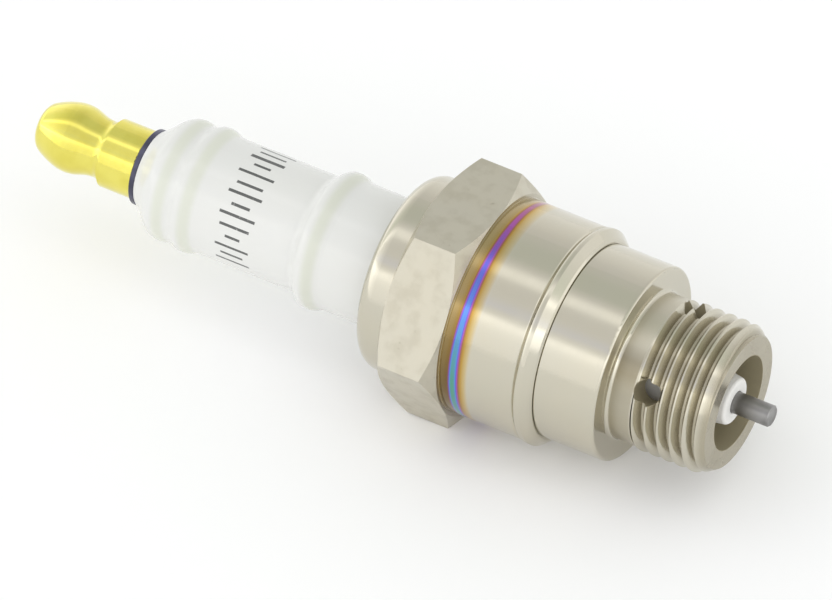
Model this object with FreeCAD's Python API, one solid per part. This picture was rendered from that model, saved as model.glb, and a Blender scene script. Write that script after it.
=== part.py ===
import FreeCAD, Part
import math
import os

# A spark plug, in millimetres. The plug's axis is X, with the firing end towards +X, and
# two flats of the hexagon face up and down. The origin is on the axis, in the plane of
# the seat face that meets the cylinder head. Outlines are (x, radius) and turn about X.

Vector = FreeCAD.Vector
axis_x = Vector(1, 0, 0)

# Firing end of the shell
thread_r = 7.0               # M14
thread_pitch = 1.25
reach = 9.5                  # seat face to the end of the thread
relief_depth = 0.2           # plain neck between the seat and the thread
relief_length = 2.4
relief_fillet = 0.35
end_chamfer_length = 1.2
end_chamfer_depth = 0.82
firing_bore_r = 4.43
vent_r = 1.15
vent_offset = 3.5            # seat face to the middle of the vents
vent_count = 4
vent_first_deg = 27.3        # first vent, measured up from -Y

# Seat, gasket groove, barrel, hexagon and crimped collar of the shell
seat_r = 9.06
seat_length = 5.9
seat_edge = 0.3
groove_depth = 0.16
barrel_step = 0.94           # barrel above the seat
barrel_length = 7.3
barrel_edge = 0.18
hex_flats = 20.8
hex_length = 5.9
hex_chamfer_deg = 30.0
collar_r = 9.06
collar_length = 3.4
collar_round = 1.45
lip_thickness = 1.05
lip_dish = 0.4               # how far the crimped lip dips towards its inner edge
lip_edge = 0.25              # square inner edge of the lip

# Inside of the shell
ledge_setback = 1.4          # from the seat face to the cone that holds the insulator
ledge_width = 1.17           # step up from the firing bore to the barrel bore
flange_step = 2.1            # step up from the barrel bore to the flange bore
flange_bore_lead = 2.8       # the flange bore starts this far in front of the hexagon

# Gasket ring
gasket_section = 1.23        # height above the groove
gasket_foot = 0.5            # height at which its sloping front starts
gasket_foot_round = 0.15
gasket_width = 1.55
gasket_crown = 0.3           # width of the cylindrical crown
gasket_rear_round = 0.4

# Insulator, from the nose to the top
nose_setback = 0.25          # behind the end of the thread
nose_tip_r = 2.2
nose_round = 0.35
core_step_setback = 3.6      # from the ledge to the narrow bore of the nose
core_bore_r = 2.15
talc_gap = 1.59              # between the two packing rings, behind the flange
flange_edge = 0.4
shank_r = 5.97               # plain stretch that comes out of the collar
shank_length = 5.1
low_rib_height = 0.44        # above the shank
low_rib_rise = 1.75          # length along the axis
low_rib_fall = 1.75
band_r = 5.45                # long plain stretch between the ribs
band_length = 9.5
mid_rib_height = 0.41        # above the band, like the next two
mid_rib_rise = 1.55
valley_height = 0.05
mid_rib_fall = 1.25
top_rib_height = 0.24
top_rib_rise = 1.15
top_cone_length = 3.0
top_cone_shoulder = 1.29     # how far the rib's level carries on into the cone
top_cone_foot = 1.2          # the cone straightens this far before the top
top_cone_bulge = 0.7         # how full the rounded cone is above the top
top_r = 3.54
seat_washer_thickness = 0.35
seat_washer_margin = 0.12    # clear of the corners at both ends of its cone

# Centre electrode
electrode_r = 1.0
electrode_stickout = 3.35    # beyond the end of the thread
electrode_edge = 0.12
head_length = 1.2
stub_r = 1.25
stub_length = 1.1
copper_r = 0.58
copper_setback = 3.0         # solid alloy left at the tip

# Seals and resistor, upwards from the electrode's head
lower_glass_length = 3.3
resistor_length = 10.0
upper_glass_length = 4.5

# Terminal stud
grip_length = 4.0
grip_grooves = 5
grip_groove_depth = 0.18
grip_groove_width = 0.35
grip_embedded = 3.0          # how much of the grip the upper glass holds
stud_collar_length = 3.1
stud_thread_r = 2.0          # M4
stud_thread_pitch = 0.7
stud_thread_length = 8.25
stud_tip_chamfer = 0.3

# Washer and terminal nut
washer_r = 3.55
washer_thickness = 0.54
washer_edge = 0.08
nut_foot_r = 3.2
nut_foot_length = 3.43
nut_foot_edge = 0.18
nut_step_depth = 0.3         # step above the foot
nut_waist_r = 2.66
nut_waist_run = 0.88         # from the step down to the waist
nut_head_r = 3.2
nut_head_run = 2.9
nut_crown_r = 2.35
nut_crown_run = 2.7
nut_shoulder_lead = 0.81     # how far the head's level carries on past its widest
nut_crown_lead = 0.81        # the shoulder straightens this far before the crown
nut_crown_flare = 0.45       # how full the shoulder of the nut is above its crown
nut_end_r = 1.4
nut_end_run = 0.65
nut_edge_lead = 0.26         # how far the crown carries on into the end
nut_edge_drop = 0.14         # and how much it comes in over that
nut_end_round = 0.45         # how square the edge of the end is
nut_bore_margin = 0.45       # empty depth beyond the stud's tip

# Clearances
gasket_radial_gap = 0.06
gasket_side_gap = 0.05
lip_gap = 0.06
insulator_gap = 0.12         # insulator in the bores of the shell
insulator_cone_gap = 0.3     # axial, between the two cones behind the barrel
nose_root_gap = 0.48         # foot of the nose in the firing bore
nose_bore_gap = 0.06         # electrode in the nose
core_gap = 0.05              # electrode head and stud collar in the core bore
grip_gap = 0.2               # stud's grip in the core bore
stud_shank_gap = 0.4
ring_gap = 0.05              # packing rings between insulator and shell
thread_gap = 0.06            # terminal nut on its stud
washer_gap = 0.15            # M4 washer on its stud
cut_margin = 1.0             # how far a cutting shape runs past the metal

# Proportions of the sixty-degree thread, as shares of the pitch
thread_depth_share = 0.6134
thread_flat_share = 7 / 16   # half of the groove's width at the crest
thread_proud_share = 0.06    # how far the cutter stands out of the rod
flank_deg = 30.0

# Shell, from the seat backwards
relief_r = thread_r - relief_depth
groove_r = seat_r - groove_depth
barrel_r = seat_r + barrel_step
barrel_bore_r = firing_bore_r + ledge_width
flange_bore_r = barrel_bore_r + flange_step
groove_front_x = -seat_length
shoulder_x = groove_front_x - gasket_width - gasket_side_gap
hex_front_x = shoulder_x - barrel_length
hex_back_x = hex_front_x - hex_length
collar_back_x = hex_back_x - collar_length
lip_under_x = collar_back_x + lip_thickness
lip_r = shank_r + lip_gap
ledge_x = -ledge_setback
bore_step_x = hex_front_x + flange_bore_lead

# Insulator and packing
nose_tip_x = reach - nose_setback
nose_root_r = firing_bore_r - nose_root_gap
nose_bore_r = electrode_r + nose_bore_gap
barrel_fit_r = barrel_bore_r - insulator_gap
flange_r = flange_bore_r - insulator_gap
core_step_x = ledge_x - core_step_setback
shank_end_x = collar_back_x - shank_length
low_rib_x = shank_end_x - low_rib_rise
band_start_x = low_rib_x - low_rib_fall
band_end_x = band_start_x - band_length
mid_rib_x = band_end_x - mid_rib_rise
valley_x = mid_rib_x - mid_rib_fall
top_rib_x = valley_x - top_rib_rise
top_x = top_rib_x - top_cone_length
seat_cone_shift = seat_washer_thickness * math.sqrt(2)
ring_wire_r = (flange_bore_r - shank_r) / 2 - ring_gap
ring_centre_r = (flange_bore_r + shank_r) / 2
upper_ring_x = lip_under_x + ring_wire_r
lower_ring_x = upper_ring_x + 2 * ring_wire_r + talc_gap
flange_back_x = lower_ring_x + ring_wire_r

# Electrode, seals, stud and nut
electrode_tip_x = reach + electrode_stickout
head_r = core_bore_r - core_gap
head_back_x = core_step_x - head_length
lower_glass_end_x = head_back_x - lower_glass_length
resistor_end_x = lower_glass_end_x - resistor_length
upper_glass_end_x = resistor_end_x - upper_glass_length
grip_r = core_bore_r - grip_gap
stud_shank_r = core_bore_r - stud_shank_gap
stud_foot_x = upper_glass_end_x + grip_embedded
stud_tip_x = top_x - stud_thread_length
nut_base_x = top_x - washer_thickness
nut_step_x = nut_base_x - nut_foot_length
nut_waist_x = nut_step_x - nut_waist_run
nut_head_x = nut_waist_x - nut_head_run
nut_crown_x = nut_head_x - nut_crown_run
nut_end_x = nut_crown_x - nut_end_run


def outline(start, *moves):
    # A closed outline of (x, radius) points. A move is a point for a straight line,
    # or ("arc", through, end), ("ease", end) or ("bend", pole, pole, end).
    edges = []
    here = start
    for move in list(moves) + [start]:
        if move[0] == "arc":
            end = move[2]
            edges.append(Part.Arc(flat(here), flat(move[1]), flat(end)).toShape())
        elif move[0] == "ease":
            end = move[1]
            middle = (here[0] + end[0]) / 2
            edges.append(bezier([here, (middle, here[1]), (middle, end[1]), end]))
        elif move[0] == "bend":
            end = move[3]
            edges.append(bezier([here, move[1], move[2], end]))
        else:
            end = move
            edges.append(Part.makeLine(flat(here), flat(end)))
        here = end
    return Part.Wire(edges)


def flat(point):
    return Vector(point[0], 0, point[1])


def bezier(points):
    curve = Part.BezierCurve()
    curve.setPoles([flat(point) for point in points])
    return curve.toShape()


def turned(start, *moves):
    face = Part.Face(outline(start, *moves))
    return face.revolve(Vector(0, 0, 0), axis_x, 360)


def rod(radius, x_from, x_to):
    low = min(x_from, x_to)
    return Part.makeCylinder(radius, abs(x_to - x_from), Vector(low, 0, 0), axis_x)


def round_corner(corner, radius, from_side, to_side):
    # The two ends and the middle of a quarter round at a square corner. The sides are
    # unit steps (x, r) from the corner along each of its two edges.
    start = (corner[0] + radius * from_side[0], corner[1] + radius * from_side[1])
    end = (corner[0] + radius * to_side[0], corner[1] + radius * to_side[1])
    inset = radius * (1 - math.sqrt(0.5))
    step = (from_side[0] + to_side[0], from_side[1] + to_side[1])
    middle = (corner[0] + inset * step[0], corner[1] + inset * step[1])
    return start, ("arc", middle, end)


def thread_groove(major_r, pitch, x_from, x_to, growth=0.0):
    # The sixty-degree groove that is cut out of a rod to thread it, as one helical solid.
    # Growth makes the ridge that is left thicker on every side, for cutting a nut.
    flank = math.radians(flank_deg)
    slope = math.tan(flank)
    depth = thread_depth_share * pitch
    proud = thread_proud_share * pitch
    half_top = thread_flat_share * pitch - growth / math.cos(flank) + growth * slope
    half_root = half_top - depth * slope
    half_out = half_top + proud * slope
    outer_r = major_r + growth + proud
    root_r = major_r + growth - depth
    taper_deg = 0
    helix = Part.makeLongHelix(pitch, x_to - x_from, root_r, taper_deg)
    section = Part.makePolygon([
        Vector(root_r, 0, -half_root), Vector(outer_r, 0, -half_out),
        Vector(outer_r, 0, half_out), Vector(root_r, 0, half_root),
        Vector(root_r, 0, -half_root)])
    groove = Part.Wire(helix.Edges).makePipeShell([section], True, True)
    groove.rotate(Vector(0, 0, 0), Vector(0, 1, 0), 90)
    groove.translate(Vector(x_from, 0, 0))
    return groove


def make_shell():
    # Outside, without the hexagon and the thread
    root_start, root_arc = round_corner((0, relief_r), relief_fillet, (1, 0), (0, 1))
    edge_start, edge_arc = round_corner((0, seat_r), seat_edge, (0, -1), (-1, 0))
    back_start, back_arc = round_corner(
        (collar_back_x, collar_r), collar_round, (1, 0), (0, -1))
    body = turned(
        (relief_length, 0), (relief_length, relief_r), root_start, root_arc,
        edge_start, edge_arc,
        (groove_front_x, seat_r), (groove_front_x, groove_r), (shoulder_x, groove_r),
        (shoulder_x, barrel_r - barrel_edge), (shoulder_x - barrel_edge, barrel_r),
        (hex_front_x, barrel_r), (hex_front_x, collar_r),
        back_start, back_arc, (collar_back_x + lip_dish, lip_r + lip_edge),
        (collar_back_x + lip_dish, 0))
    shell = body.fuse([hexagon(), threaded_end()])
    shell = shell.cut(shell_inside())
    return shell.cut(vents())


def hexagon():
    corner_r = hex_flats / math.sqrt(3)
    corners = []
    for step in range(7):
        angle = math.radians(60 * step)
        corners.append(Vector(
            hex_back_x, corner_r * math.cos(angle), corner_r * math.sin(angle)))
    prism = Part.Face(Part.makePolygon(corners)).extrude(Vector(hex_length, 0, 0))
    flat_r = hex_flats / 2
    outer_r = corner_r + cut_margin
    fall = (outer_r - flat_r) * math.tan(math.radians(hex_chamfer_deg))
    envelope = turned(
        (hex_front_x, 0), (hex_front_x, flat_r), (hex_front_x - fall, outer_r),
        (hex_back_x + fall, outer_r), (hex_back_x, flat_r), (hex_back_x, 0))
    return prism.common(envelope)


def threaded_end():
    blank = turned(
        (relief_length, 0), (relief_length, thread_r),
        (reach - end_chamfer_length, thread_r), (reach, thread_r - end_chamfer_depth),
        (reach, 0))
    groove = thread_groove(
        thread_r, thread_pitch, relief_length - thread_pitch, reach + thread_pitch)
    return blank.cut(groove)


def shell_inside():
    # Both steps are forty-five degree cones
    ledge_end_x = ledge_x - ledge_width
    step_end_x = bore_step_x - flange_step
    front_x = reach + cut_margin
    back_x = collar_back_x - cut_margin
    return turned(
        (front_x, 0), (front_x, firing_bore_r),
        (ledge_x, firing_bore_r), (ledge_end_x, barrel_bore_r),
        (bore_step_x, barrel_bore_r), (step_end_x, flange_bore_r),
        (lip_under_x, flange_bore_r), (lip_under_x, lip_r),
        (back_x, lip_r), (back_x, 0))


def vents():
    drills = []
    for step in range(vent_count):
        angle = math.radians(vent_first_deg + 360 / vent_count * step)
        outward = Vector(0, -math.cos(angle), math.sin(angle))
        drills.append(Part.makeCylinder(
            vent_r, thread_r + cut_margin, Vector(vent_offset, 0, 0), outward))
    return drills


def make_gasket():
    rear_x = shoulder_x
    front_x = shoulder_x + gasket_width
    inner_r = groove_r + gasket_radial_gap
    outer_r = groove_r + gasket_section
    front_r = groove_r + gasket_foot
    crown_x = rear_x + gasket_rear_round
    rear_start, rear_arc = round_corner(
        (rear_x, outer_r), gasket_rear_round, (0, -1), (1, 0))
    return turned(
        (rear_x, inner_r), rear_start, rear_arc, (crown_x + gasket_crown, outer_r),
        (front_x - gasket_foot_round, front_r + gasket_foot_round / 2),
        (front_x, front_r - gasket_foot_round), (front_x, inner_r))


def make_insulator():
    root_x = ledge_x - seat_cone_shift - (nose_root_r - firing_bore_r)
    barrel_x = ledge_x - seat_cone_shift - (barrel_fit_r - firing_bore_r)
    cone_x = bore_step_x - insulator_cone_gap + (barrel_bore_r - barrel_fit_r)
    flange_x = cone_x - (flange_r - barrel_fit_r)
    tip_start, tip_arc = round_corner(
        (nose_tip_x, nose_tip_r), nose_round, (0, -1), (-1, 0))
    edge_start, edge_arc = round_corner(
        (flange_back_x, flange_r), flange_edge, (1, 0), (0, -1))
    shoulder_pole_x = top_rib_x - top_cone_shoulder
    foot_pole_x = top_x + top_cone_foot
    low_rib_r = shank_r + low_rib_height
    top_rib_r = band_r + top_rib_height
    return turned(
        (nose_tip_x, nose_bore_r), tip_start, tip_arc,
        (root_x, nose_root_r), (barrel_x, barrel_fit_r), (cone_x, barrel_fit_r),
        (flange_x, flange_r), edge_start, edge_arc, (flange_back_x, shank_r),
        (shank_end_x, shank_r),
        ("ease", (low_rib_x, low_rib_r)), ("ease", (band_start_x, band_r)),
        (band_end_x, band_r),
        ("ease", (mid_rib_x, band_r + mid_rib_height)),
        ("ease", (valley_x, band_r + valley_height)), ("ease", (top_rib_x, top_rib_r)),
        ("bend", (shoulder_pole_x, top_rib_r), (foot_pole_x, top_r + top_cone_bulge),
         (top_x, top_r)),
        (top_x, core_bore_r), (core_step_x, core_bore_r), (core_step_x, nose_bore_r))


def make_seat_washer():
    inner_r = firing_bore_r + seat_washer_margin
    outer_r = barrel_fit_r - seat_washer_margin
    front = ledge_x + firing_bore_r
    back = front - seat_cone_shift
    return turned(
        (front - inner_r, inner_r), (front - outer_r, outer_r),
        (back - outer_r, outer_r), (back - inner_r, inner_r))


def packing_ring(centre_x):
    return Part.makeTorus(ring_centre_r, ring_wire_r, Vector(centre_x, 0, 0), axis_x)


def make_upper_packing_ring():
    return packing_ring(upper_ring_x)


def make_lower_packing_ring():
    return packing_ring(lower_ring_x)


def make_talc_packing():
    sleeve = rod(flange_bore_r, upper_ring_x, lower_ring_x)
    sleeve = sleeve.cut(rod(shank_r, upper_ring_x, lower_ring_x))
    return sleeve.cut([packing_ring(upper_ring_x), packing_ring(lower_ring_x)])


def electrode_outside():
    return turned(
        (electrode_tip_x, 0), (electrode_tip_x, electrode_r - electrode_edge),
        (electrode_tip_x - electrode_edge, electrode_r), (core_step_x, electrode_r),
        (core_step_x, head_r), (head_back_x, head_r), (head_back_x, stub_r),
        (head_back_x - stub_length, stub_r), (head_back_x - stub_length, 0))


def make_copper_core():
    return rod(copper_r, head_back_x - stub_length, electrode_tip_x - copper_setback)


def make_centre_electrode():
    return electrode_outside().cut(make_copper_core())


def make_lower_glass_seal():
    return rod(core_bore_r, head_back_x, lower_glass_end_x).cut(electrode_outside())


def make_resistor():
    return rod(core_bore_r, lower_glass_end_x, resistor_end_x)


def make_upper_glass_seal():
    return rod(core_bore_r, resistor_end_x, upper_glass_end_x).cut(stud_blank())


def stud_blank():
    grip_end_x = stud_foot_x - grip_length
    collar_x = top_x + stud_collar_length
    blank = turned(
        (stud_foot_x, 0), (stud_foot_x, grip_r), (grip_end_x, grip_r),
        (grip_end_x, stud_shank_r), (collar_x, stud_shank_r),
        (collar_x, head_r), (top_x, head_r),
        (top_x, stud_thread_r), (stud_tip_x + stud_tip_chamfer, stud_thread_r),
        (stud_tip_x, stud_thread_r - stud_tip_chamfer), (stud_tip_x, 0))
    spacing = grip_length / (grip_grooves + 1)
    floor_r = grip_r - grip_groove_depth
    beyond_r = grip_r + cut_margin
    rings = []
    for step in range(grip_grooves):
        middle = stud_foot_x - spacing * (step + 1)
        low, high = middle - grip_groove_width / 2, middle + grip_groove_width / 2
        rings.append(turned(
            (low, beyond_r), (high, beyond_r), (high, floor_r), (low, floor_r)))
    return blank.cut(rings)


def stud_groove(growth=0.0):
    # Stud and nut are cut by the same helix, so that they are in mesh
    return thread_groove(
        stud_thread_r, stud_thread_pitch, stud_tip_x - 2 * stud_thread_pitch,
        top_x + 2 * stud_thread_pitch, growth)


def make_terminal_stud():
    blank = stud_blank()
    thread = rod(stud_thread_r + cut_margin, stud_tip_x - cut_margin, top_x)
    threaded = blank.common(thread).cut(stud_groove())
    return blank.cut(thread).fuse(threaded)


def make_terminal_washer():
    inner_r = stud_thread_r + washer_gap
    return turned(
        (top_x, inner_r), (top_x, washer_r - washer_edge), (top_x - washer_edge, washer_r),
        (nut_base_x + washer_edge, washer_r), (nut_base_x, washer_r - washer_edge),
        (nut_base_x, inner_r))


def make_terminal_nut():
    edge_start, edge_arc = round_corner(
        (nut_base_x, nut_foot_r), nut_foot_edge, (0, -1), (-1, 0))
    shoulder_pole = (nut_head_x - nut_shoulder_lead, nut_head_r)
    crown_pole = (nut_crown_x + nut_crown_lead, nut_crown_r + nut_crown_flare)
    edge_pole = (nut_crown_x - nut_edge_lead, nut_crown_r - nut_edge_drop)
    body = turned(
        (nut_base_x, 0), edge_start, edge_arc, (nut_step_x, nut_foot_r),
        (nut_step_x, nut_foot_r - nut_step_depth), ("ease", (nut_waist_x, nut_waist_r)),
        ("ease", (nut_head_x, nut_head_r)),
        ("bend", shoulder_pole, crown_pole, (nut_crown_x, nut_crown_r)),
        ("bend", edge_pole, (nut_end_x, nut_end_r + nut_end_round), (nut_end_x, nut_end_r)),
        (nut_end_x, 0))
    bore_end_x = stud_tip_x - nut_bore_margin
    tap = rod(stud_thread_r + thread_gap, bore_end_x, nut_base_x)
    tap = tap.cut(stud_groove(thread_gap))
    return body.cut(tap)


pieces = {
    "shell": make_shell,
    "gasket": make_gasket,
    "insulator": make_insulator,
    "inner_seat_washer": make_seat_washer,
    "lower_packing_ring": make_lower_packing_ring,
    "talc_packing": make_talc_packing,
    "upper_packing_ring": make_upper_packing_ring,
    "centre_electrode": make_centre_electrode,
    "electrode_copper_core": make_copper_core,
    "lower_glass_seal": make_lower_glass_seal,
    "resistor": make_resistor,
    "upper_glass_seal": make_upper_glass_seal,
    "terminal_stud": make_terminal_stud,
    "terminal_washer": make_terminal_washer,
    "terminal_nut": make_terminal_nut,
}

os.makedirs("parts", exist_ok=True)
for name, make in pieces.items():
    shape = make()
    shape.exportStep("parts/" + name + ".step")
    print(name, len(shape.Solids), "solid", round(shape.Volume, 2), "mm3", shape.isValid())
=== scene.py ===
import math
import bpy
from mathutils import Matrix, Vector


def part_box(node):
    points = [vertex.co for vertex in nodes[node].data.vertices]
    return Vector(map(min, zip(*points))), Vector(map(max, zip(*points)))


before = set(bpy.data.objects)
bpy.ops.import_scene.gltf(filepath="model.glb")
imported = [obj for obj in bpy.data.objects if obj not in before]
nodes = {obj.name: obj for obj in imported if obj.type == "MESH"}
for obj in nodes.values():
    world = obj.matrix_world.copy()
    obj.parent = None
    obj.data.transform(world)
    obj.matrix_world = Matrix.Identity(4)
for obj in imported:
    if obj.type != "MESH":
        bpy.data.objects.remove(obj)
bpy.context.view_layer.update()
print("frame loaded:", len(nodes), "pieces")


class Sock:
    # A shader socket that works in Python expressions
    def __init__(self, tree, socket=None):
        self.tree = tree
        self.socket = socket

    def node(self, kind, settings, sockets, output=0):
        made = self.tree.nodes.new(kind)
        for name, value in settings.items():
            if name == "stops":
                fillRamp(made.color_ramp, value)
            else:
                setattr(made, name, value)
        for name, value in sockets.items():
            if isinstance(value, Sock):
                self.tree.links.new(value.socket, made.inputs[name])
            elif made.inputs[name].type == "RGBA":
                made.inputs[name].default_value = (*value, 1.0)
            else:
                made.inputs[name].default_value = value
        return Sock(self.tree, made.outputs[output] if made.outputs else None)

    def other(self, output):
        return Sock(self.tree, self.socket.node.outputs[output])

    def maths(self, operation, first, second=0.0):
        return self.node("ShaderNodeMath", {"operation": operation}, {0: first, 1: second})

    def __add__(self, value):
        return self.maths("ADD", self, value)

    def __sub__(self, value):
        return self.maths("SUBTRACT", self, value)

    def __rsub__(self, value):
        return self.maths("SUBTRACT", value, self)

    def __mul__(self, value):
        return self.maths("MULTIPLY", self, value)

    def __truediv__(self, value):
        return self.maths("DIVIDE", self, value)

    __radd__ = __add__
    __rmul__ = __mul__


def fillRamp(colourRamp, stops):
    # Stops are (place, colour) pairs; a single number stands for a grey
    while len(colourRamp.elements) < len(stops):
        colourRamp.elements.new(1.0)
    for element, (place, colour) in zip(colourRamp.elements, stops):
        if not isinstance(colour, tuple):
            colour = (colour, colour, colour)
        element.position = place
        element.color = (*colour, 1.0)


def ramp(g, value, low, high, stops, between="LINEAR"):
    # A colour ramp whose stops are given in the units of value
    placed = [((place - low) / (high - low), colour) for place, colour in stops]
    share = (value - low) / (high - low)
    made = g.node("ShaderNodeValToRGB", {"stops": placed}, {0: share})
    made.socket.node.color_ramp.interpolation = between
    return made


def step(g, value, low, high):
    # 0 below low and 1 above high, smooth between
    return g.node("ShaderNodeMapRange", {"interpolation_type": "SMOOTHSTEP"},
                  {"Value": value, "From Min": low, "From Max": high})


def within(g, value, low, high, soft):
    # 1 between low and high, 0 outside
    return step(g, value, low - soft, low + soft) * (1 - step(g, value, high - soft,
                                                              high + soft))


def vector(g, x, y, z):
    return g.node("ShaderNodeCombineXYZ", {}, {0: x, 1: y, 2: z})


def noise(g, place, scale, detail=2.0):
    return g.node("ShaderNodeTexNoise", {},
                  {"Vector": place, "Scale": scale, "Detail": detail}, "Fac")


def mixColour(g, factor, first, second):
    return g.node("ShaderNodeMix", {"data_type": "RGBA"}, {0: factor, 6: first, 7: second}, 2)


def bump(g, height, strength, distance):
    sockets = {"Strength": strength, "Distance": distance, "Height": height}
    return g.node("ShaderNodeBump", {}, sockets, "Normal")


class Place:
    # Where a point lies on the plug: millimetres along the axis and out from it, and
    # the angle about it, from 0 at -Y to 90 at the top
    def __init__(self, g):
        self.point = g.node("ShaderNodeTexCoord", {}, {}, "Object")
        parts = g.node("ShaderNodeSeparateXYZ", {}, {0: self.point}, "X")
        across, up = parts.other("Y") * -1000.0, parts.other("Z") * 1000.0
        self.along = parts * 1000.0
        self.radius = g.maths("SQRT", across * across + up * up)
        self.angle = g.maths("ARCTAN2", up, across) * (180 / math.pi)
        # Fine lines that run round the piece, as a lathe tool leaves them
        turned = vector(g, self.along * 3.2, across * 0.05, up * 0.05)
        self.turning = noise(g, turned, 1.0, 4.0)


def newMaterial(name):
    material = bpy.data.materials.new(name)
    material.use_nodes = True
    material.node_tree.nodes.clear()
    return material, Sock(material.node_tree)


def closeMaterial(g, constants, varying):
    # Constants stay on the shader's own sockets, and what varies is linked
    surface = g.node("ShaderNodeBsdfPrincipled", {}, {**constants, **varying})
    g.node("ShaderNodeOutputMaterial", {}, {"Surface": surface})


def paint(material, *names):
    for name in names:
        slots = nodes[name].data.materials
        slots.clear()
        slots.append(material)


shellFinish = {
    "nickel": (0.60, 0.56, 0.45), "nickelCool": (0.575, 0.55, 0.465),
    # The darker colour on the next line is for the hexagon's marks, and for painted shade with
    # some dirt in the thread valleys and round the neck; the bore colour is painted shade inside
    # the bore and vents
    "dirtAndShade": (0.25, 0.21, 0.13), "bore": (0.30, 0.26, 0.16),
    "barrelRoughness": 0.15, "hexRoughness": 0.32,
    # How many patches of each kind lie in a metre
    "cloud": 210.0, "grain": 4200.0, "smear": 480.0, "mottle": 620.0, "pits": 900.0,
    # How far the turning lines and the smears change the gloss
    "turningGloss": 0.10, "smearGloss": 0.16,
    # Height of the turning lines and of the grain, which is coarser on the hexagon
    "turningHeight": 0.5, "grainHeight": 0.12, "hexGrainHeight": 0.7,
    "bumpStrength": 0.35, "bumpDepth": 0.000012,
    # How dark each kind of mark, dirt and painted shade is
    "mottleDepth": 0.16, "barrelPits": 0.06, "hexPits": 0.22,
    "valleyShadeAndDirt": 0.35, "valleyPatches": 0.35, "recessShadeDepth": 0.9,
    # How much rougher and less metallic it makes the plating
    "valleyRough": 0.2, "recessRough": 0.35, "pitsRough": 0.3, "mottleRough": 0.05,
    "neckRough": 0.22, "recessDull": 0.85, "valleyDull": 0.2,
    # Where its parts lie, in millimetres from the seat face or from the axis
    "neckFrom": 0.3, "threadStart": 2.3, "threadRootRadius": 6.3, "threadCrestRadius": 6.85,
    "boreRadius": 4.48, "ventAlong": 3.5, "ventAngle": 27.3, "ventRadius": 1.2,
    "hexFront": -14.8, "hexBack": -20.7, "barrelRadius": 10.0,
    # How dark the neck is by angle: dirt, with painted shade set by angle to follow the light
    "neckDirtAndShade": [(-180, 0.1), (-60, 0.36), (10, 0.36), (24, 0.50), (35, 0.74), (46, 0.68),
                 (58, 0.06), (180, 0.1)],
    # Heat tint left by the crimping current: oxide thickness to colour
    "tint": [(0.0, (0.60, 0.56, 0.45)), (0.22, (0.58, 0.45, 0.22)), (0.38, (0.50, 0.31, 0.07)),
             (0.50, (0.33, 0.15, 0.10)), (0.60, (0.42, 0.12, 0.40)), (0.72, (0.16, 0.15, 0.66)),
             (0.84, (0.13, 0.30, 0.70)), (1.0, (0.12, 0.36, 0.28))],
    "tintAround": [(-180, 0.35), (-90, 0.55), (-40, 0.94), (-8, 1.0), (14, 0.97), (32, 0.86),
                   (55, 0.78), (76, 0.66), (98, 0.60), (140, 0.50), (180, 0.35)],
    "tintAlong": [(-14.8, 0.30), (-14.3, 0.34), (-13.95, 0.46), (-13.75, 0.80), (-13.6, 1.0),
                  (-13.3, 0.98), (-13.1, 0.72), (-12.9, 0.50), (-12.6, 0.34), (-12.3, 0.20),
                  (-12.0, 0.0)],
    "tintEnd": -12.0, "tintPatches": 0.10,
    "scorch": (0.12, 0.085, 0.045), "scorchFrom": -13.85, "scorchTo": -14.75,
    "scorchSoft": 0.22, "scorchDepth": 0.8, "scorchFade": 0.45, "scorchFadeAngles": (-10.0, 60.0),
}


def ventWall(g, at):
    # 1 on the walls of the four drilled vents
    s = shellFinish
    turned = g.maths("FLOORED_MODULO", at.angle - s["ventAngle"] + 45.0, 90.0) - 45.0
    aside = at.radius * g.maths("SINE", turned * (math.pi / 180))
    ahead = at.along - s["ventAlong"]
    distance = g.maths("SQRT", aside * aside + ahead * ahead)
    return 1 - step(g, distance, s["ventRadius"] - 0.03, s["ventRadius"] + 0.03)


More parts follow.
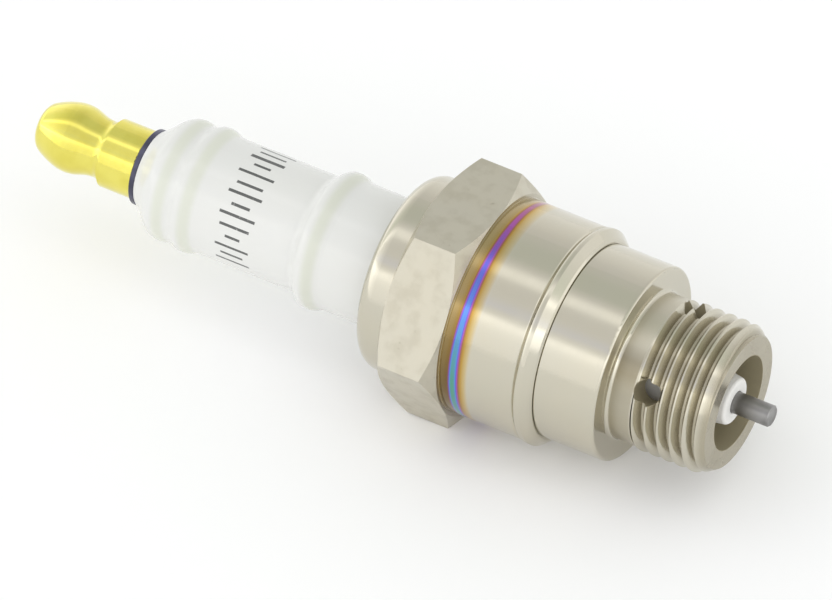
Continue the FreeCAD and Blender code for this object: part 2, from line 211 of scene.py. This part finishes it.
def shellSteel(name, tinted=True):
    s = shellFinish
    material, g = newMaterial(name)
    at = Place(g)
    cloud = noise(g, at.point, s["cloud"], 3.0)
    grain = noise(g, at.point, s["grain"], 3.0)
    colour = mixColour(g, cloud, s["nickel"], s["nickelCool"])
    smear = noise(g, at.point, s["smear"], 3.0)
    roughness = s["barrelRoughness"] + (at.turning - 0.5) * s["turningGloss"]
    roughness = roughness + (smear - 0.5) * s["smearGloss"]
    height = at.turning * s["turningHeight"] + grain * s["grainHeight"]
    metallic = 1.0
    if tinted:
        onHex = within(g, at.along, s["hexBack"] - 0.2, s["hexFront"] + 0.05, 0.03)
        onHex = onHex * step(g, at.radius, s["barrelRadius"] + 0.04, s["barrelRadius"] + 0.12)
        # Rainbow ring in front of the hexagon, with a scorched edge low on the side
        around = ramp(g, at.angle, -180.0, 180.0, s["tintAround"])
        along = ramp(g, at.along, s["hexFront"], s["tintEnd"], s["tintAlong"])
        thickness = around * along + (cloud - 0.5) * s["tintPatches"] * along
        onBarrel = within(g, at.along, s["hexFront"] + 0.02, s["tintEnd"], 0.02)
        onBarrel = onBarrel * within(g, at.radius, s["barrelRadius"] - 0.2,
                                     s["barrelRadius"] + 0.1, 0.05)
        tint = ramp(g, thickness, 0.0, 1.0, s["tint"])
        colour = mixColour(g, onBarrel, colour, tint)
        scorch = within(g, at.along, s["scorchTo"], s["scorchFrom"], s["scorchSoft"])
        fade = step(g, at.angle, *s["scorchFadeAngles"]) * s["scorchFade"]
        scorch = scorch * (s["scorchDepth"] - fade)
        colour = mixColour(g, scorch * onBarrel, colour, s["scorch"])
        # Handling marks on the hexagon
        mottle = step(g, noise(g, at.point, s["mottle"], 4.0), 0.42, 0.70) * onHex
        pits = step(g, noise(g, at.point, s["pits"], 4.0), 0.68, 0.78)
        pits = pits * (s["barrelPits"] + onHex * s["hexPits"])
        colour = mixColour(g, mottle * s["mottleDepth"] + pits, colour, s["dirtAndShade"])
        # Painted shade in the thread's valleys, in the vents and in the bore, and dirt with
        # painted shade round the neck
        onThread = step(g, at.along, s["threadStart"], s["threadStart"] + 0.2)
        valley = onThread * (1 - step(g, at.radius, s["threadRootRadius"],
                                      s["threadCrestRadius"]))
        # Painted shade deep in the thread's valleys, patchy, with some dirt
        valley = valley * (s["valleyShadeAndDirt"] + cloud * s["valleyPatches"])
        neck = within(g, at.along, s["neckFrom"], s["threadStart"], 0.1)
        neck = neck * (1 - step(g, at.radius, s["threadCrestRadius"], 7.2))
        # Round the neck: dirt with painted shade, its depth set by angle to follow the light
        neckDarkening = neck * ramp(g, at.angle, -180.0, 180.0, s["neckDirtAndShade"])
        colour = mixColour(g, valley + neckDarkening, colour, s["dirtAndShade"])
        # Painted shade: the bore and the vent walls are painted darker
        inBore = 1 - step(g, at.radius, s["boreRadius"] - 0.02, s["boreRadius"] + 0.02)
        boreAndVentShade = g.maths("MAXIMUM", inBore, ventWall(g, at))
        colour = mixColour(g, boreAndVentShade * s["recessShadeDepth"], colour, s["bore"])
        roughness = roughness + onHex * (s["hexRoughness"] - s["barrelRoughness"])
        roughness = roughness + valley * s["valleyRough"] + boreAndVentShade * s["recessRough"]
        roughness = roughness + pits * s["pitsRough"] + mottle * s["mottleRough"]
        roughness = roughness + neck * s["neckRough"]
        metallic = 1 - boreAndVentShade * s["recessDull"] - valley * s["valleyDull"]
        height = at.turning * s["turningHeight"] * (1 - onHex)
        height = height + grain * (s["grainHeight"] + onHex * s["hexGrainHeight"])
    closeMaterial(g, {}, {
        "Base Color": colour, "Roughness": roughness, "Metallic": metallic,
        "Normal": bump(g, height, s["bumpStrength"], s["bumpDepth"])})
    return material


glaze = {
    "white": (0.735, 0.74, 0.72), "warm": (0.725, 0.72, 0.675), "rough": 0.08,
    # The band colour below is painted shade beside each rib
    "ribShade": (0.66, 0.68, 0.57), "shadedBandMiddles": (-45.7, -43.0, -30.25),
    "shadedBandHalf": 0.5, "shadedBandSoft": 0.35, "shadedBandDepth": 0.7,
    # The nose is bare from here on
    "bareCeramic": (0.80, 0.79, 0.76), "glazeEnds": -22.0, "bareRough": 0.5, "ior": 1.52,
    # How many patches of each kind lie in a metre
    "cloud": 160.0, "ripple": 520.0, "wear": 3200.0,
    "cloudDepth": 0.6, "cloudRough": 0.04, "rippleStrength": 0.10, "rippleDepth": 0.00008,
    "ink": (0.03, 0.034, 0.032), "inkDepth": 0.9, "inkRough": 0.22, "inkWear": 0.5,
    "barMiddle": -38.15, "barHalf": 1.85, "barWander": 0.4,
    # Plain printed bars: where each starts and ends about the axis, and its share of the
    # longest
    "bars": [(-180, 0), (-22, 0.9), (-19, 0), (-12, 0.6), (-9, 0), (-2, 0.9), (1, 0),
             (9, 0.4), (12, 0), (20, 0.8), (23, 0), (31, 0.95), (34, 0), (42, 0.5), (45, 0),
             (53, 0.9), (56, 0), (63, 0.7), (66, 0), (75, 0.95), (78, 0), (86, 0.45), (89, 0),
             (97, 0.9), (100, 0), (108, 0.7), (111, 0), (119, 0.95), (122, 0), (132, 0.6),
             (135, 0)],
}


def glazedCeramic():
    s = glaze
    material, g = newMaterial("white_glaze")
    at = Place(g)
    cloud = noise(g, at.point, s["cloud"], 3.0)
    ripple = noise(g, at.point, s["ripple"], 2.0)
    colour = mixColour(g, cloud * s["cloudDepth"], s["white"], s["warm"])
    # Painted shade: a darker greenish band beside each rib, where its flank turns from the light
    for middle in s["shadedBandMiddles"]:
        ribShade = within(g, at.along, middle - s["shadedBandHalf"], middle + s["shadedBandHalf"],
                        s["shadedBandSoft"])
        colour = mixColour(g, ribShade * s["shadedBandDepth"], colour, s["ribShade"])
    wandering = at.angle + (ripple - 0.5) * s["barWander"]
    bars = ramp(g, wandering, -180.0, 180.0, s["bars"], "CONSTANT")
    share = g.maths("ABSOLUTE", at.along - s["barMiddle"]) / s["barHalf"]
    ink = step(g, bars - share, -0.02, 0.02) * step(g, bars, 0.05, 0.1)
    worn = 1 - step(g, noise(g, at.point, s["wear"], 3.0), 0.60, 0.75) * s["inkWear"]
    ink = ink * worn
    colour = mixColour(g, ink * s["inkDepth"], colour, s["ink"])
    bare = step(g, at.along, s["glazeEnds"], s["glazeEnds"] + 0.3)
    colour = mixColour(g, bare, colour, s["bareCeramic"])
    roughness = s["rough"] + bare * s["bareRough"] + ink * s["inkRough"]
    roughness = roughness + cloud * s["cloudRough"]
    closeMaterial(g, {"IOR": s["ior"]}, {
        "Base Color": colour, "Roughness": roughness,
        "Normal": bump(g, ripple, s["rippleStrength"], s["rippleDepth"])})
    return material


# Turned or pressed metal: two shades, roughness, height of the turning lines and grain
metals = {
    "yellow_passivated_nut": {"light": (0.84, 0.76, 0.16), "dark": (0.76, 0.67, 0.11),
                              "rough": 0.08, "lines": 0.25, "grain": 0.05, "coat": 0.35},
    # Its blue-black also stands in for the thin shadow line between the nut and the insulator:
    # partly painted shade
    "blue_black_washer_and_shadow": {"light": (0.13, 0.13, 0.19), "dark": (0.07, 0.07, 0.10),
                     "rough": 0.30, "lines": 0.1, "grain": 0.5},
    "electrode_nickel": {"light": (0.33, 0.325, 0.32), "dark": (0.20, 0.195, 0.19),
                         "rough": 0.36, "lines": 0.9, "grain": 0.6},
    "zinc_plated_stud": {"light": (0.55, 0.55, 0.53), "dark": (0.40, 0.40, 0.38),
                         "rough": 0.28, "lines": 0.3, "grain": 0.3},
    "electrode_copper": {"light": (0.80, 0.42, 0.28), "dark": (0.55, 0.25, 0.16),
                         "rough": 0.32, "lines": 0.4, "grain": 0.2},
    "pressed_packing_steel": {"light": (0.42, 0.41, 0.39), "dark": (0.28, 0.27, 0.25),
                              "rough": 0.42, "lines": 0.1, "grain": 0.6},
}
# Fused and pressed powders: two shades, roughness, how many grains lie in a metre
powders = {
    "pressed_talc": {"light": (0.80, 0.78, 0.73), "dark": (0.66, 0.64, 0.58),
                     "rough": 0.85, "perMetre": 2600.0},
    "copper_glass_seal": {"light": (0.30, 0.17, 0.10), "dark": (0.10, 0.07, 0.05),
                          "rough": 0.45, "perMetre": 1800.0},
    "carbon_resistor": {"light": (0.09, 0.09, 0.095), "dark": (0.03, 0.03, 0.032),
                        "rough": 0.6, "perMetre": 2200.0},
}
# The same for all the metals and for all the powders
metalGrain = {"cloud": 420.0, "perMetre": 5200.0, "gloss": 0.08, "bumpStrength": 0.4,
              "bumpDepth": 0.000012}
powderGrain = {"gloss": 0.1, "bumpStrength": 0.5, "bumpDepth": 0.00003}


def metal(name):
    s = {**metalGrain, **metals[name]}
    material, g = newMaterial(name)
    at = Place(g)
    cloud = noise(g, at.point, s["cloud"], 3.0)
    grain = noise(g, at.point, s["perMetre"], 2.0)
    colour = mixColour(g, step(g, cloud, 0.3, 0.75), s["light"], s["dark"])
    roughness = s["rough"] + (cloud - 0.5) * s["gloss"] + (at.turning - 0.5) * s["gloss"]
    height = at.turning * s["lines"] + grain * s["grain"]
    closeMaterial(g, {"Metallic": 1.0, "Coat Weight": s.get("coat", 0.0)}, {
        "Base Color": colour,
        "Roughness": roughness, "Normal": bump(g, height, s["bumpStrength"], s["bumpDepth"])})
    return material


def powder(name):
    s = {**powderGrain, **powders[name]}
    material, g = newMaterial(name)
    at = Place(g)
    grain = noise(g, at.point, s["perMetre"], 4.0)
    closeMaterial(g, {"Metallic": 0.0}, {
        "Base Color": mixColour(g, step(g, grain, 0.35, 0.65), s["light"], s["dark"]),
        "Roughness": s["rough"] + (grain - 0.5) * s["gloss"],
        "Normal": bump(g, grain, s["bumpStrength"], s["bumpDepth"])})
    return material


paint(shellSteel("nickel_plated_shell"), "shell")
paint(shellSteel("nickel_plated_gasket", tinted=False), "gasket")
paint(glazedCeramic(), "insulator")
paint(metal("yellow_passivated_nut"), "terminal_nut")
paint(metal("blue_black_washer_and_shadow"), "terminal_washer")
paint(metal("electrode_nickel"), "centre_electrode")
paint(metal("zinc_plated_stud"), "terminal_stud")
paint(metal("electrode_copper"), "electrode_copper_core")
paint(metal("pressed_packing_steel"), "inner_seat_washer", "lower_packing_ring",
      "upper_packing_ring")
paint(powder("pressed_talc"), "talc_packing")
paint(powder("copper_glass_seal"), "lower_glass_seal", "upper_glass_seal")
paint(powder("carbon_resistor"), "resistor")
print("materials painted")

studio = {
    "azimuth": 27.6, "elevation": 42.8, "roll": 2.3,   # degrees
    "lens": 800.0,                                      # long, so edges look parallel
    "width": 0.0725, "farthest": 10.0,                  # metres seen across, and away
    "seatRight": 0.01975, "seatDown": 0.00564,          # seat centre from the middle
    "floorTilt": 1.98,                                  # lies on the hexagon and gasket
    "strength": 1.0,
    # Brightness of the light tent by angle about the plug: 0 at -Y, 90 overhead
    "tent": [(-180, 1.1), (-10, 1.2), (2, 1.22), (10, 1.26), (19, 1.3), (26, 1.42), (29, 1.6),
             (34, 1.6), (37, 1.15), (41, 1.0), (46, (0.92, 0.94, 1.06)), (56, 0.92), (64, 0.90),
             (73, 0.92), (79, 1.3), (85, 1.3), (91, 0.9), (100, (0.71, 0.74, 0.70)),
             (118, (0.71, 0.74, 0.70)), (136, 0.80), (154, 0.95), (172, 1.05), (180, 1.1)],
    "towardsNut": 0.4, "towardsEnds": 0.6, "seenFrom": -0.34,   # brighter along the plug
    "floorGlow": 0.05,                                  # the floor is a light table
    "floorColour": (0.95, 0.95, 0.95), "floorRoughness": 0.7, "floorHalf": 3.0,
}


def placeCamera():
    az, el = math.radians(studio["azimuth"]), math.radians(studio["elevation"])
    back = Vector((math.sin(az) * math.cos(el), -math.cos(az) * math.cos(el), math.sin(el)))
    right = Vector((math.cos(az), math.sin(az), 0))
    up = back.cross(right)
    turn = Matrix.Rotation(math.radians(studio["roll"]), 3, back)
    right, up = turn @ right, turn @ up
    camera = bpy.data.cameras.new("camera")
    camera.lens = studio["lens"]
    camera.clip_end = studio["farthest"]
    distance = studio["width"] * camera.lens / camera.sensor_width
    place = up * studio["seatDown"] - right * studio["seatRight"] + back * distance
    rig = bpy.data.objects.new("camera", camera)
    rig.matrix_world = Matrix.Translation(place) @ Matrix(
        (right, up, back)).transposed().to_4x4()
    bpy.context.scene.collection.objects.link(rig)
    bpy.context.scene.camera = rig


def makeFloor():
    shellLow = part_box("shell")[0]
    tilt = math.radians(studio["floorTilt"])
    touch = Vector((shellFinish["hexFront"] / 1000, 0, shellLow.z))
    half = studio["floorHalf"]
    mesh = bpy.data.meshes.new("floor")
    mesh.from_pydata([(-half, -half, 0), (half, -half, 0), (half, half, 0), (-half, half, 0)],
                     [], [(0, 1, 2, 3)])
    floor = bpy.data.objects.new("floor", mesh)
    floor.matrix_world = Matrix.Translation(touch) @ Matrix.Rotation(-tilt, 4, "Y")
    bpy.context.scene.collection.objects.link(floor)
    material, g = newMaterial("pale_floor")
    closeMaterial(g, {"Base Color": studio["floorColour"],
                      "Roughness": studio["floorRoughness"],
                      "Emission Color": (1.0, 1.0, 1.0),
                      "Emission Strength": studio["floorGlow"]}, {})
    mesh.materials.append(material)


def lightStudio():
    world = bpy.data.worlds.new("light_tent")
    world.use_nodes = True
    world.node_tree.nodes.clear()
    bpy.context.scene.world = world
    g = Sock(world.node_tree)
    parts = g.node("ShaderNodeSeparateXYZ", {}, {
        0: g.node("ShaderNodeTexCoord", {}, {}, "Generated")}, "X")
    height = g.maths("ARCTAN2", parts.other("Z"), parts.other("Y") * -1.0) * (180 / math.pi)
    tent = ramp(g, height, -180.0, 180.0, studio["tent"])
    past = parts - studio["seenFrom"]
    fall = 1 - past * studio["towardsNut"] + past * past * studio["towardsEnds"]
    tent = g.node("ShaderNodeVectorMath", {"operation": "SCALE"}, {0: tent, "Scale": fall})
    light = g.node("ShaderNodeBackground", {}, {
        "Color": tent, "Strength": studio["strength"]})
    g.node("ShaderNodeOutputWorld", {}, {"Surface": light})


placeCamera()
makeFloor()
lightStudio()
bpy.context.scene.view_settings.view_transform = "Standard"
print("studio ready")
